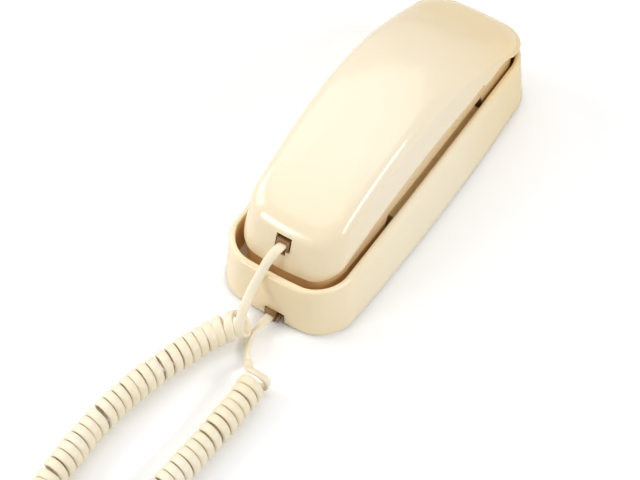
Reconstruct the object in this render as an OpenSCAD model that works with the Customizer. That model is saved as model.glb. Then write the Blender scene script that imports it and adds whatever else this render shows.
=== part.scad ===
// Corded landline phone: a long handset lies face down in a boat-shaped base,
// joined to it by a curly cord.  Millimetres, +Z up, the base stands on z = 0,
// +Y runs towards the earpiece end and -Y towards the cord end.

/* [Base] */
// Gap between the handset's front shell and each side of the wells
well_side_gap = 1.5; // [1.2:0.1:3]
// Gap between the front shell's earpiece end and the well's, less their bows
well_end_gap = 1.5; // [1:0.1:3]
// Height of the rim above the table
rim_h = 36.2; // [35:0.1:38]
// Corner radius of the rim, seen from above
rim_r = 20; // [16:1:24]
// Thickness of the rim
rim_t = 3.5; // [3:0.1:4]
// How much wider and longer the casing is at its lower edge than at its rim
foot_flare = 3; // [2:0.5:8]
// Corner radius of the lower edge
foot_r = 18; // [14:1:24]
// Outward bow of each long side at the rim
rim_side_bow = 0.7; // [0:0.1:2]
// Outward bow of each long side at the lower edge
foot_side_bow = 4; // [2:0.1:6]
// Outward bow of each end at the rim
rim_end_bow = 3; // [2:0.1:4]
// Outward bow of each end at the lower edge
foot_end_bow = 2; // [1:0.1:4]
// Height of the raised platform
platform_h = 33; // [31:0.1:34]
// Length of the mouthpiece well, at its corners
near_well_l = 67; // [65:0.5:71]
// Length of the earpiece well, at its corners
far_well_l = 53; // [52:0.5:57]
// Floor height of the mouthpiece well
near_floor = 14; // [13.6:0.1:16]
// Floor height of the earpiece well
far_floor = 11; // [10:0.1:14]
// Thickness of the casing's skin
skin_t = 2.5; // [2:0.1:3]
// Height of the rubber feet
feet_h = 2; // [1.8:0.1:2.2]
// Diameter of a rubber foot
feet_d = 11; // [8:0.5:13]
// Thickness of the bottom plate
plate_t = 2.2; // [1.8:0.1:2.5]
// Gap between the bottom plate and the casing
plate_gap = 0.3; // [0.2:0.1:0.5]
// Distance between the two wall hooks' keyholes
keyhole_pitch = 101.6; // [98:0.1:104]
// Diameter of a keyhole's wide end
keyhole_d = 9; // [8:0.5:10]
// Width of a keyhole's slot
keyhole_slot = 4.6; // [4:0.1:5]

/* [Handset] */
// Length of the handset, without the bow of its ends
hs_len = 203.5; // [202:0.5:206]
// How far the handset's middle lies towards the earpiece end
hs_shift = 5.75; // [5:0.25:6.5]
// Width of the handset at the mouthpiece end
hs_w_near = 60.6; // [58:0.2:62]
// Width of the handset in the middle
hs_w_mid = 65.6; // [64.6:0.2:68]
// Width of the handset at the earpiece end
hs_w_far = 68; // [67:0.2:70]
// Corner radius at the mouthpiece end
hs_r_near = 14.5; // [12:0.5:18]
// Corner radius at the earpiece end
hs_r_far = 18; // [15:0.5:22]
// Outward bow of the handset's ends
hs_bow = 3; // [2:0.1:3.5]
// Height of the parting line at the mouthpiece end
part_near = 35.1; // [34.5:0.1:36]
// Height of the parting line in the middle
part_mid = 51.8; // [50:0.1:53]
// Height of the parting line at the earpiece end
part_far = 37.8; // [37.4:0.1:39]
// Wall thickness of the handset shells
hs_wall = 2.4; // [2:0.1:2.8]
// Width of the back shell's rounded shoulder
shoulder_w = 9.5; // [8:0.5:13]
// Height of the back shell's rounded shoulder
shoulder_h = 7.5; // [7:0.5:11]
// Rise of the back shell's middle above its shoulders
crown = 2.5; // [1:0.1:4]
// Inward draft of the back shell's sides
draft = 1.5; // [0.5:0.1:3]
// Height of the keypad face above the table
face_h = 38.8; // [38:0.1:40]
// Running gap between the handset and what it lies on
seat_gap = 0.3; // [0.2:0.05:0.5]
// Seam between the two handset shells
seam = 0.15; // [0.1:0.05:0.3]

/* [Keys] */
// Length of a number key, across the handset
key_w = 11; // [9:0.5:12]
// Width of a number key, along the handset
key_l = 8; // [6:0.5:9]
// Width of a function key, along the handset
fn_key_l = 6; // [5:0.5:8]
// Distance between key columns
key_pitch_x = 16; // [15:0.5:17]
// Distance between key rows
key_pitch_y = 12.5; // [11:0.5:13]
// Distance of the lowest row of keys from the platform's mouthpiece end
key_row_in = 14; // [12:0.5:15]
// Height of a key above the keypad face
key_proud = 1.5; // [1:0.1:2]
// Travel of a key
key_travel = 1; // [0.6:0.1:1.2]
// Gap around a key in its opening
key_gap = 0.3; // [0.2:0.05:0.4]

/* [Hook switch and slides] */
// Diameter of the hook-switch plunger
plunger_d = 7.6; // [6:0.2:9]
// Distance of the plunger from the platform's earpiece end
plunger_in = 9; // [8:0.5:10]
// Travel of the plunger
plunger_travel = 3; // [2:0.5:4]
// Wire diameter of the plunger's spring
spring_wire = 0.7; // [0.5:0.1:0.9]
// Turns of the plunger's spring
spring_turns = 3; // [2:1:3]
// Travel of a slide switch from end to end
slide_travel = 6; // [4:0.5:7]

/* [Jacks and plugs] */
// Width of a handset plug's body
plug_w = 7.65; // [7.4:0.05:7.8]
// Height of a handset plug's body
plug_h = 6.6; // [6.2:0.05:6.8]
// Length of a handset plug's body
plug_l = 11.7; // [11:0.1:12.5]
// Gap around a plug in its jack
plug_gap = 0.15; // [0.1:0.05:0.25]
// Wall of a jack around its socket
jack_wall = 0.7; // [0.6:0.05:0.8]
// Height of the handset jack's opening
hs_jack_z = 50.2; // [49.6:0.1:51]
// Place of the handset jack across the handset
hs_jack_x = -0.5; // [-1:0.1:1]
// Wall of the handset jack above its socket, which the contact slots cross
comb_h = 2.3; // [1.8:0.1:2.6]
// Tilt of the handset's cord end, from upright
end_tilt = 14; // [12:0.5:16]
// Width of the casing's opening for the base jack
notch_w = 12.4; // [12:0.1:14]
// Place of the casing's opening across the base
notch_x = 2.9; // [2.5:0.1:3.3]
// Place of the base plug across the base
base_plug_x = 1; // [0.8:0.1:1.2]

/* [Cord] */
// Width of the flat cord
cord_w = 5.2; // [4.6:0.1:5.6]
// Thickness of the solid that stands for a straight lead
lead_d = 3.6; // [3:0.1:3.9]
// Outside diameter of the curly part
coil_d = 16; // [14:0.5:18]

/* [Hidden] */

cream = [0.95, 0.9, 0.78];
brass = [0.85, 0.68, 0.3];
steel = [0.72, 0.73, 0.75];
dark = [0.16, 0.16, 0.18];
board_green = [0.1, 0.4, 0.22];
amber = [0.9, 0.8, 0.62];

front_in = 1.3;    // how far the front shell's sides stay inside the back shell's
front_far_in = 7.5; // how far its earpiece end stays inside the back shell's
hs_near = hs_shift - hs_len / 2;
front_w = hs_w_mid - 2 * front_in;
front_near = hs_near + 1;
front_far = hs_near + hs_len - front_far_in;
rim_w = front_w + 2 * (well_side_gap + rim_t);
rim_len = 2 * (front_far + well_end_gap + rim_t);
platform_near = near_well_l - rim_len / 2;
platform_far = rim_len / 2 - far_well_l;
key_row_y = platform_near + key_row_in;
plunger_y = platform_far - plunger_in;
foot_w = rim_w + foot_flare;
foot_len = rim_len + foot_flare;
corner_n = 6;      // steps round a plan corner
side_n = 14;       // steps along a long side
end_n = 4;         // steps along an end
edge_r = 2;        // rounding of the rim's outer edge
over = 1;          // how far a cutting solid runs past a face
casing_z = feet_h - 0.2;
plate_z = feet_h;
plate_top = plate_z + plate_t;
board_t = 1.6;
base_board_z = plate_top + 5;
base_board_top = base_board_z + board_t;
base_board_w = 52;
base_board_y = [platform_near + 8, platform_far - 5];
screw_at = [for (x = [-26, 26], y = [base_board_y[0], base_board_y[1] - 3]) [x, y]];
boss_d = 7;
pilot_d = 2.6;
screw_d = 3;
screw_head_d = 5.6;

// ------------------------------------------------------------ plan outlines

function arc(cx, cy, r, from) =
  [for (i = [0:corner_n]) [cx + r * cos(from + 90 * i / corner_n),
                           cy + r * sin(from + 90 * i / corner_n)]];
function between(p, q, n) = [for (i = [1:n - 1]) p + (q - p) * i / n];
function flatten(lists) = [for (l = lists) for (p = l) p];
function mean(pts) = [for (k = [0:2]) [for (p = pts) p[k]] * [for (p = pts) 1] / len(pts)];

// A rounded rectangle from y0 to y1, counter-clockwise, with its own radius at each end.
function plan(w, y0, y1, r_near, r_far) = let (h = w / 2) concat(
  arc(h - r_far, y1 - r_far, r_far, 0),
  between([h - r_far, y1], [r_far - h, y1], end_n),
  arc(r_far - h, y1 - r_far, r_far, 90),
  between([-h, y1 - r_far], [-h, y0 + r_near], side_n),
  arc(r_near - h, y0 + r_near, r_near, 180),
  between([r_near - h, y0], [h - r_near, y0], end_n),
  arc(h - r_near, y0 + r_near, r_near, 270),
  between([h, y0 + r_near], [h, y1 - r_far], side_n));

// Bows the ends and sides of such a rectangle outwards.
function bow(p, w, y0, y1, side, end) = let (
    u = min(1, abs(2 * p[0] / w)),
    v = min(1, abs((2 * p[1] - y0 - y1) / (y1 - y0))),
    sx = sign(p[0]),
    sy = sign(2 * p[1] - y0 - y1))
  [p[0] + sx * side * (1 - v * v) * pow(u, 4), p[1] + sy * end * (1 - u * u) * pow(v, 4)];

function base_plan(w, l, r, side, end, inset = 0) =
  [for (p = plan(w - 2 * inset, inset - l / 2, l / 2 - inset, r - inset, r - inset))
    bow(p, w, -l / 2, l / 2, side, end)];

// The casing's outline at height z, from its lower edge to its rim.
function casing_plan(z, inset = 0) = let (f = (z - casing_z) / (rim_h - casing_z))
  base_plan(foot_w + (rim_w - foot_w) * f, foot_len + (rim_len - foot_len) * f,
            foot_r + (rim_r - foot_r) * f,
            foot_side_bow + (rim_side_bow - foot_side_bow) * f,
            foot_end_bow + (rim_end_bow - foot_end_bow) * f, inset);
function rim_plan(inset) =
  base_plan(rim_w, rim_len, rim_r, rim_side_bow, rim_end_bow, inset);

function lift(pts, z) = [for (p = pts) [p[0], p[1], z]];

// A closed solid through rings of equally many points, from the lowest ring up.
module skin(rings) {
  n = len(rings[0]);
  m = len(rings);
  sides = [for (k = [0:m - 2]) for (i = [0:n - 1]) let (
      a = k * n + i, b = k * n + (i + 1) % n, c = b + n, d = a + n) each [[a, d, c], [a, c, b]]];
  floor_fan = [for (i = [0:n - 1]) [i, (i + 1) % n, m * n]];
  top_fan = [for (i = [0:n - 1]) [(m - 1) * n + (i + 1) % n, (m - 1) * n + i, m * n + 1]];
  polyhedron(concat(flatten(rings), [mean(rings[0]), mean(rings[m - 1])]),
             concat(sides, floor_fan, top_fan), convexity = 8);
}

module block(from, to) {
  translate(from) cube(to - from);
}

// A cube from y0 to y1 and z0 to z1, wider than the whole phone.
module slab(y0, y1, z0, z1) {
  block([-60, y0, z0], [60, y1, z1]);
}

module rod(x, y, z0, z1, d) {
  translate([x, y, z0]) cylinder(h = z1 - z0, d = d, $fn = 32);
}

// ------------------------------------------------------------ base

module casing_outer() {
  skin(concat(
    [for (z = [casing_z, casing_z + 8, casing_z + 17, rim_h - edge_r - 6, rim_h - edge_r])
      lift(casing_plan(z), z)],
    [for (a = [30, 60, 90])
      lift(casing_plan(rim_h, edge_r * (1 - cos(a)) * 0.8), rim_h - edge_r * (1 - sin(a)))]));
}

module well(y0, y1, z0) {
  intersection() {
    translate([0, 0, z0]) linear_extrude(rim_h + over - z0) polygon(rim_plan(rim_t));
    slab(y0, y1, z0, rim_h + over);
  }
}

module well_skin(y0, y1, z0) {
  intersection() {
    translate([0, 0, z0]) linear_extrude(rim_h - z0) polygon(rim_plan(rim_t - skin_t));
    slab(y0, y1, z0, rim_h);
  }
}

module casing_cavity() {
  difference() {
    skin([for (z = [casing_z - over, casing_z + 8, platform_h - skin_t])
      lift(casing_plan(max(z, casing_z), skin_t + 0.7), z)]);
    well_skin(-rim_len, platform_near + skin_t, near_floor - skin_t);
    well_skin(platform_far - skin_t, rim_len, far_floor - skin_t);
  }
}

ringer_y = 2;
ringer_z = base_board_top + 4;
slide_w = 5;
slide_h = 3.4;
slide_gap = 0.3;
slot_l = slide_w + slide_travel + 2 * slide_gap;

notch_top = 9;

module base_casing() color(cream) {
  difference() {
    union() {
      difference() {
        casing_outer();
        well(-rim_len, platform_near, near_floor);
        well(platform_far, rim_len, far_floor);
        well(platform_near - over, platform_far + over, platform_h);
        casing_cavity();
      }
      for (p = screw_at) rod(p[0], p[1], plate_top, platform_h - 1, boss_d);
    }
    for (p = screw_at) rod(p[0], p[1], plate_top - over, plate_top + 12, pilot_d);
    rod(0, plunger_y, platform_h - skin_t - over, platform_h + over, plunger_d + 0.8);
    block([notch_x - notch_w / 2, -foot_len, casing_z - over],
          [notch_x + notch_w / 2, -foot_len / 2 + 6, notch_top]);
    block([-foot_w, ringer_y - slot_l / 2, ringer_z - slide_gap],
          [-rim_w / 2 + 8, ringer_y + slot_l / 2, ringer_z + slide_h + slide_gap]);
  }
}

module keyhole(y) {
  rod(0, y, plate_z - over, plate_top + over, keyhole_d);
  rod(0, y + keyhole_d, plate_z - over, plate_top + over, keyhole_slot);
  block([-keyhole_slot / 2, y, plate_z - over],
        [keyhole_slot / 2, y + keyhole_d, plate_top + over]);
}

line_jack_at = [-13, -14];
line_socket = [9.8, 6.8];
line_jack_wall = 1.6;
line_jack_h = 15;
line_jack_size = [line_socket[0] + 2 * line_jack_wall, line_socket[1] + 4 + 2 * line_jack_wall];

module bottom_plate() color(cream * 0.9) {
  difference() {
    translate([0, 0, plate_z]) linear_extrude(plate_t)
      polygon(base_plan(foot_w, foot_len, foot_r, foot_side_bow, foot_end_bow,
                        skin_t + 0.7 + plate_gap));
    for (p = screw_at) rod(p[0], p[1], plate_z - over, plate_top + over, screw_d + 0.4);
    for (p = screw_at) rod(p[0], p[1], plate_z - over, plate_z + 1, screw_head_d + 0.6);
    for (s = [-1, 1]) keyhole(s * keyhole_pitch / 2);
    block([base_plug_x - socket_h / 2 - jack_wall - plate_gap, -foot_len, plate_z - over],
          [base_plug_x + socket_h / 2 + latch_h + jack_wall + plate_gap,
           base_jack_back + contact_tail + plate_gap, plate_top + over]);
    block([line_jack_at[0] - line_jack_size[0] / 2 - plate_gap,
           line_jack_at[1] - line_jack_size[1] / 2 - plate_gap, plate_z - over],
          [line_jack_at[0] + line_jack_size[0] / 2 + plate_gap,
           line_jack_at[1] + line_jack_size[1] / 2 + plate_gap, plate_top + over]);
  }
}

feet_at = [for (x = [-1, 1], y = [-1, 1]) [x * (foot_w / 2 - 12), y * (foot_len / 2 - 22.5)]];

module rubber_feet() color(dark) {
  for (p = feet_at) translate([p[0], p[1], 0]) cylinder(h = feet_h, d = feet_d, $fn = 48);
}

module screw(x, y, z, length, head_t = 1.8) {
  translate([x, y, z]) {
    difference() {
      cylinder(h = head_t, d = screw_head_d, $fn = 32);
      translate([-screw_head_d / 3, -0.4, -over]) cube([screw_head_d / 1.5, 0.8, over + 0.8]);
      translate([-0.4, -screw_head_d / 3, -over]) cube([0.8, screw_head_d / 1.5, over + 0.8]);
    }
    cylinder(h = length, d = pilot_d - 0.1, $fn = 32);
  }
}

module base_screws() color(steel) {
  for (p = screw_at) screw(p[0], p[1], plate_z + 1 - 1.8, 12.5);
}

// Round spacers that hold the base board above the bottom plate.
spacer_at = [for (x = [-21, 21], y = [base_board_y[0] + 6, base_board_y[1] - 13]) [x, y]];

module board_spacers() color(cream) {
  for (p = spacer_at) translate([p[0], p[1], plate_top]) difference() {
    cylinder(h = base_board_z - plate_top, d = 6, $fn = 32);
    translate([0, 0, -over]) cylinder(h = base_board_z, d = 2.5, $fn = 32);
  }
}

module base_board() color(board_green) {
  difference() {
    block([-base_board_w / 2, base_board_y[0], base_board_z],
          [base_board_w / 2, base_board_y[1], base_board_top]);
    for (p = screw_at) rod(p[0], p[1], base_board_z - over, base_board_top + over, boss_d + 1);
    for (p = spacer_at) rod(p[0], p[1], base_board_z - over, base_board_top + over, 2.5);
    block([line_jack_at[0] - line_jack_size[0] / 2 - plate_gap,
           line_jack_at[1] - line_jack_size[1] / 2 - plate_gap, base_board_z - over],
          [line_jack_at[0] + line_jack_size[0] / 2 + plate_gap,
           line_jack_at[1] + line_jack_size[1] / 2 + plate_gap, base_board_top + over]);
  }
}

module base_board_parts() color(dark) {
  z = base_board_top;
  block([4, -26, z], [14, -18, z + 3.4]);
  block([4, 22, z], [14, 28, z + 2.4]);
  for (x = [-16, -9]) rod(x, 30, z, z + 9, 6);
  rod(21, 18, z, z + 7, 5);
  for (y = [-8, -3]) block([20, y, z], [25, y + 3, z + 2.2]);
}

ringer_d = 30;
ringer_at = [4, 5];
ringer_h = 7;

module ringer_holder() color(dark) {
  translate([ringer_at[0], ringer_at[1], base_board_top]) difference() {
    cylinder(h = ringer_h, d = ringer_d, $fn = 64);
    translate([0, 0, 1.2]) cylinder(h = ringer_h, d = ringer_d - 5, $fn = 64);
    translate([0, 0, ringer_h - 1]) cylinder(h = 2, d = ringer_d - 2, $fn = 64);
  }
}

module ringer_disc() color(brass) {
  translate([ringer_at[0], ringer_at[1], base_board_top + ringer_h - 1]) {
    cylinder(h = 0.4, d = ringer_d - 2.4, $fn = 64);
    translate([0, 0, 0.4]) cylinder(h = 0.3, d = ringer_d - 10, $fn = 64);
  }
}

base_weight_w = rim_w - 25;

module base_weight() color(steel) {
  difference() {
    block([-base_weight_w / 2, base_jack_back + contact_tail + 0.6, plate_top],
          [base_weight_w / 2, platform_near - 22, near_floor - skin_t - 1.5]);
    for (x = [-18, 18]) rod(x, platform_near - 35, plate_top - over, near_floor, 4);
  }
}

// The hook switch stands on the base board under the plunger.
switch_top = base_board_top + 9.5;
plunger_foot = switch_top + 3.4;
plunger_top = face_h - seat_gap;

module hook_switch() color(dark) {
  difference() {
    block([-10, plunger_y - 6.5, base_board_top], [10, plunger_y + 3.9, switch_top]);
    rod(0, plunger_y, switch_top - 1.2, switch_top + over, 3.4);
  }
  rod(0, plunger_y, switch_top - 1, switch_top + 0.2, 2.6);
}

module hook_plunger() color(cream * 0.95) {
  translate([0, plunger_y, plunger_foot]) {
    cylinder(h = plunger_top - plunger_foot - 1, d = plunger_d, $fn = 48);
    translate([0, 0, plunger_top - plunger_foot - 1])
      cylinder(h = 1, d = plunger_d - 1.6, $fn = 48);
    cylinder(h = 1.6, d = plunger_d + 4, $fn = 48);
  }
}

module hook_spring() color(steel) {
  r = plunger_d / 2 - spring_wire / 2;
  z0 = switch_top + spring_wire / 2 + 0.05;
  z1 = plunger_foot - spring_wire / 2 - 0.05;
  steps = spring_turns * 16;
  skin([for (i = [0:steps]) let (a = 360 * spring_turns * i / steps, z = z0 + (z1 - z0) * i / steps)
    [for (k = [5:-1:0]) let (b = 60 * k, q = r + spring_wire / 2 * cos(b))
      [q * cos(a), plunger_y + q * sin(a), z + spring_wire / 2 * sin(b)]]]);
}

switch_x = base_board_w / 2;

module ringer_switch() color(steel) {
  difference() {
    block([-switch_x - 4, ringer_y - 8, base_board_top], [-switch_x + 6, ringer_y + 8, ringer_z + 6]);
    block([-switch_x - 5, ringer_y - slot_l / 2, ringer_z - slide_gap],
          [-switch_x - 1, ringer_y + slot_l / 2, ringer_z + slide_h + slide_gap]);
  }
}

module ringer_slide() color(dark) {
  x1 = -switch_x - 1.3;
  block([ringer_face - 1.6, ringer_y - slide_w / 2, ringer_z], [x1, ringer_y + slide_w / 2,
        ringer_z + slide_h]);
}

// Outer face of the casing where the ringer slide comes through.
function casing_half(z) = let (f = (z - casing_z) / (rim_h - casing_z))
  (foot_w + (rim_w - foot_w) * f) / 2 + foot_side_bow + (rim_side_bow - foot_side_bow) * f;
ringer_face = -casing_half(ringer_z);

// ------------------------------------------------------------ jacks and plugs

// Local frame of a jack: the plug goes in along +Y, the contacts lie on +Z,
// the latch on -Z, and the origin is the middle of the socket's mouth.
socket_w = plug_w + 2 * plug_gap;
socket_h = plug_h + 2 * plug_gap;
jack_l = plug_l + 2.5;
latch_h = 2.6;
latch_w = 3.2;

module jack_body(top) {
  difference() {
    block([-socket_w / 2 - jack_wall, 0, -socket_h / 2 - latch_h - jack_wall],
          [socket_w / 2 + jack_wall, jack_l, socket_h / 2 + top]);
    block([-socket_w / 2, -over, -socket_h / 2], [socket_w / 2, plug_l + 0.2, socket_h / 2]);
    block([-latch_w / 2 - 0.3, -over, -socket_h / 2 - latch_h],
          [latch_w / 2 + 0.3, plug_l - 1, 0]);
  }
}

contact_tail = 2.5;
contact_pitch = 1.02;
comb_l = 3;            // depth of the slots in the handset jack's mouth

module jack_contacts(count) {
  for (i = [0:count - 1]) translate([(i - (count - 1) / 2) * contact_pitch - 0.2, 0, 0]) {
    block([0, jack_l, socket_h / 2 - 0.7], [0.4, jack_l + contact_tail, socket_h / 2 - 0.3]);
  }
}

module plug_body() {
  difference() {
    union() {
      block([-plug_w / 2, 0, -plug_h / 2], [plug_w / 2, plug_l, plug_h / 2]);
      // Latch: hinged at the nose, its free end reaches out behind the body.
      rotate([90, 0, 90]) translate([0, 0, -latch_w / 2]) linear_extrude(latch_w)
        polygon([[plug_l - 0.6, -plug_h / 2 + 0.4], [plug_l - 0.6, -plug_h / 2 - 0.3],
                 [8, -plug_h / 2 - 1.2], [-0.8, -plug_h / 2 - 2.4],
                 [-0.8, -plug_h / 2 - 1.5], [7.6, -plug_h / 2 - 0.3],
                 [9.6, -plug_h / 2 + 0.4]]);
    }
    // Contact slots in the nose
    for (i = [-1.5:1:1.5])
      block([i * contact_pitch - 0.25, plug_l - 5, plug_h / 2 - 1.6],
            [i * contact_pitch + 0.25, plug_l + over, plug_h / 2 + over]);
  }
}

module plug_contacts() {
  for (i = [-1.5:1:1.5])
    block([i * contact_pitch - 0.2, plug_l - 4.8, plug_h / 2 - 1.6],
          [i * contact_pitch + 0.2, plug_l - 0.4, plug_h / 2 - 0.3]);
}

hs_jack_y = hs_near - hs_bow + tan(end_tilt) * (hs_jack_z - part_near) + 0.2;

module at_handset_jack() {
  translate([hs_jack_x, hs_jack_y, hs_jack_z]) rotate([-end_tilt, 0, 0]) children();
}

hs_plug_out = 4;       // how far the handset plug stays out of its jack's mouth
hs_jack_in = 4.6;      // how far that mouth lies behind the outer face
hs_jack_up = -1;       // how far the socket lies above the middle of the opening
base_plug_out = 6.1;
base_plug_z = socket_w / 2 + jack_wall + 0.15;
base_jack_front = -foot_len / 2 + 2.2;
base_jack_back = base_jack_front + jack_l;

module at_base_jack() {
  translate([base_plug_x, base_jack_front, base_plug_z]) rotate([0, -90, 0]) children();
}

module handset_jack() color(dark) at_handset_jack()
  translate([0, hs_jack_in, hs_jack_up]) difference() {
    jack_body(comb_h);
    // Slots at the mouth, where the contact wires turn into the socket
    for (i = [-1.5:1:1.5])
      block([i * contact_pitch - 0.3, -over, socket_h / 2 - over],
            [i * contact_pitch + 0.3, comb_l, socket_h / 2 + comb_h - 0.6]);
  }
module handset_jack_contacts() color(brass) at_handset_jack()
  translate([0, hs_jack_in, hs_jack_up]) jack_contacts(4);
module handset_plug() color(amber) at_handset_jack()
  translate([0, hs_jack_in - hs_plug_out, hs_jack_up]) plug_body();
module plug_contacts_handset() color(brass) at_handset_jack()
  translate([0, hs_jack_in - hs_plug_out, hs_jack_up]) plug_contacts();

module base_jack() color(dark) at_base_jack() jack_body(jack_wall);
module base_jack_contacts() color(brass) at_base_jack() jack_contacts(4);
module base_plug() color(amber) at_base_jack()
  translate([0, -base_plug_out, 0]) plug_body();
module plug_contacts_base() color(brass) at_base_jack()
  translate([0, -base_plug_out, 0]) plug_contacts();

// The line jack opens downwards through the bottom plate.
module line_jack() color(dark) {
  w = line_jack_size[0] / 2;
  l = line_jack_size[1] / 2;
  translate([line_jack_at[0], line_jack_at[1], plate_z]) difference() {
    block([-w, -l, 0], [w, l, line_jack_h]);
    block([-line_socket[0] / 2, -l + line_jack_wall, -over],
          [line_socket[0] / 2, -l + line_jack_wall + line_socket[1], line_jack_h - 3]);
    block([-3, -l + line_jack_wall, -over],
          [3, l - line_jack_wall, line_jack_h - 5]);
  }
}

module line_jack_contacts() color(brass) {
  l = line_jack_size[1] / 2;
  for (i = [-1.5:1:1.5])
    block([line_jack_at[0] + i * 1.02 - 0.2, line_jack_at[1] - l + line_jack_wall,
           plate_z + 3],
          [line_jack_at[0] + i * 1.02 + 0.2, line_jack_at[1] - l + line_jack_wall + 0.5,
           plate_z + line_jack_h - 3]);
}

// ------------------------------------------------------------ handset

hs_far = hs_near + hs_len;
hs_mid = (hs_near + hs_far) / 2;

// A parabola through a at the near end, b in the middle and c at the far end.
function sweep(y, a, b, c) = let (u = (y - hs_near) / hs_len)
  a * 2 * (u - 0.5) * (u - 1) - b * 4 * u * (u - 1) + c * 2 * u * (u - 0.5);
function part_z(y) =
  sweep(min(max(y, hs_near - hs_bow), hs_far + hs_bow), part_near, part_mid, part_far);
function hs_half(y) = sweep(min(max(y, hs_near), hs_far), hs_w_near, hs_w_mid, hs_w_far) / 2;

// Side profile of the back between its shoulders: [place as a share of the length
// from the middle, height above the table].
profile_shares = [[-0.58, 52], [-0.47, 61], [-0.41, 65], [-0.33, 70], [-0.215, 75.6],
                  [-0.053, 78.8], [0.12, 74.8], [0.26, 65], [0.395, 52], [0.4975, 42.5],
                  [0.61, 34]];
profile = [for (p = profile_shares) [hs_mid + p[0] * hs_len, p[1]]];

// A smooth curve through those points.
function hermite(y, i) = let (
    p = profile[i - 1], q = profile[i], r = profile[i + 1], s = profile[i + 2],
    h = r[0] - q[0], t = (y - q[0]) / h,
    mq = (r[1] - p[1]) / (r[0] - p[0]) * h, mr = (s[1] - q[1]) / (s[0] - q[0]) * h)
  q[1] * (1 + 2 * t) * pow(1 - t, 2) + mq * t * pow(1 - t, 2)
  + r[1] * t * t * (3 - 2 * t) + mr * t * t * (t - 1);
function profile_z(y) = let (last = len(profile) - 3)
  hermite(y, [for (i = [1:last]) if (y < profile[i + 1][0] || i == last) i][0]);

// Plan of the handset, narrowed by inset.
function hs_plan(inset) = [for (p = plan(hs_w_mid, hs_near, hs_far, hs_r_near, hs_r_far))
  let (b = bow(p, hs_w_mid, hs_near, hs_far, 0, hs_bow), k = hs_half(b[1]) / (hs_w_mid / 2))
  [b[0] * k * (1 - 2 * inset / hs_w_mid), hs_mid + (b[1] - hs_mid) * (1 - 2 * inset / hs_len)]];

// The near end leans back and the far end a little forward with height h.
function lean(y, h) = let (u = (y - hs_near) / hs_len)
  h * tan(end_tilt) * (1 - min(1, max(0, u / 0.35)))
  - 0.1 * h * min(1, max(0, (u - 0.65) / 0.35));

// A point of the back shell over plan point p: f runs up the wall from the
// parting line (0) to the shoulder (1), s over the shoulder from 0 to 1.
function back_point(p, f, s, drop) = let (
    base = part_z(p[1]),
    y = p[1] + lean(p[1], (profile_z(p[1]) - base) * (0.7 * f + 0.3 * s)),
    low = max(profile_z(y) - drop - shoulder_h, base + 0.3),
    top = max(profile_z(y) - drop, low + 0.2))
  [p[0], y, base + (low - base) * f + (top - low) * s];
function wall_ring(f, inset, drop) =
  [for (p = hs_plan(inset + draft * f)) back_point(p, f, 0, drop)];
function shoulder_ring(a, inset, drop) =
  [for (p = hs_plan(inset + draft + shoulder_w * (1 - cos(a)))) back_point(p, 1, sin(a), drop)];
function crown_ring(f, inset, drop) = [for (p = shoulder_ring(90, inset, drop))
  let (y = hs_mid + (p[1] - hs_mid) * (1 - f))
  [p[0] * (1 - f), y, profile_z(y) - drop + crown * (1 - pow(1 - f, 2))]];
function edge_ring(inset, dz) = [for (p = hs_plan(inset)) [p[0], p[1], part_z(p[1]) + dz]];

module back_outer() {
  skin(concat([edge_ring(hs_wall + 1, 0)],
              [for (f = [0, 0.33, 0.66, 1]) wall_ring(f, 0, 0)],
              [for (a = [18, 36, 54, 72, 90]) shoulder_ring(a, 0, 0)],
              [for (f = [0.3, 0.6, 0.9]) crown_ring(f, 0, 0)]));
}

module back_inner() {
  skin(concat([edge_ring(hs_wall, -12)],
              [for (f = [0, 0.5, 1]) wall_ring(f, hs_wall, hs_wall)],
              [for (a = [30, 60, 90]) shoulder_ring(a, hs_wall, hs_wall)],
              [for (f = [0.45, 0.9]) crown_ring(f, hs_wall, hs_wall)]));
}

hs_opening_w = socket_w + 1.4;
hs_opening_h = 9.6;
hs_screw_at = [for (x = [-14, 14], y = [platform_near - 22, platform_far + 18]) [x, y]];
hs_boss_d = 7;
hs_tube_d = 9.4;
hs_boss_z = face_h + 2;          // where front and back bosses meet
scoop_y = 66;
scoop_r = 40;
seam_slot = [42, 54];

module handset_back_shell() color(cream) {
  difference() {
    union() {
      difference() {
        back_outer();
        back_inner();
      }
      for (p = hs_screw_at)
        rod(p[0], p[1], hs_boss_z + seam, profile_z(p[1]) - hs_wall + crown / 2, hs_boss_d);
      // Rib that holds the jack down
      at_handset_jack() translate([0, hs_jack_in, hs_jack_up])
        block([-4, 5, socket_h / 2 + comb_h + 0.1], [4, 7, socket_h / 2 + 14.5]);
    }
    for (p = hs_screw_at) rod(p[0], p[1], hs_boss_z - over, hs_boss_z + 14, pilot_d);
    at_handset_jack() block([-hs_opening_w / 2, -5, -hs_opening_h / 2],
                            [hs_opening_w / 2, hs_wall + 2.5, hs_opening_h / 2]);
    // Slot under the opening for the plug's latch
    at_handset_jack() block([-latch_w / 2 - 0.6, -5, -hs_opening_h / 2 - latch_h],
                            [latch_w / 2 + 0.6, hs_wall + 2.5, 0]);
    // Finger scoop and slot in the right-hand edge
    translate([hs_w_mid / 2 - 6, scoop_y, part_z(scoop_y) + 1.3 - scoop_r])
      rotate([0, 90, 0]) cylinder(h = 20, r = scoop_r, $fn = 96);
    block([hs_w_mid / 2 - 6, seam_slot[0], part_z(seam_slot[1]) - 3],
          [hs_w_mid / 2 + 6, seam_slot[1], part_z(seam_slot[0]) + 0.8]);
  }
}

// The front shell is a trough whose two cups reach down into the wells.
front_taper = 1 - (hs_w_near - 2) / front_w;
near_cup_z = near_floor + seat_gap;
far_cup_z = far_floor + seat_gap;
hs_screw_seat = hs_boss_z - 4;   // where the screw heads bear, deep inside their tubes
near_ramp = [platform_near - 14, platform_near - 3];
far_ramp = [platform_far + 2.5, platform_far + 12];

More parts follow.
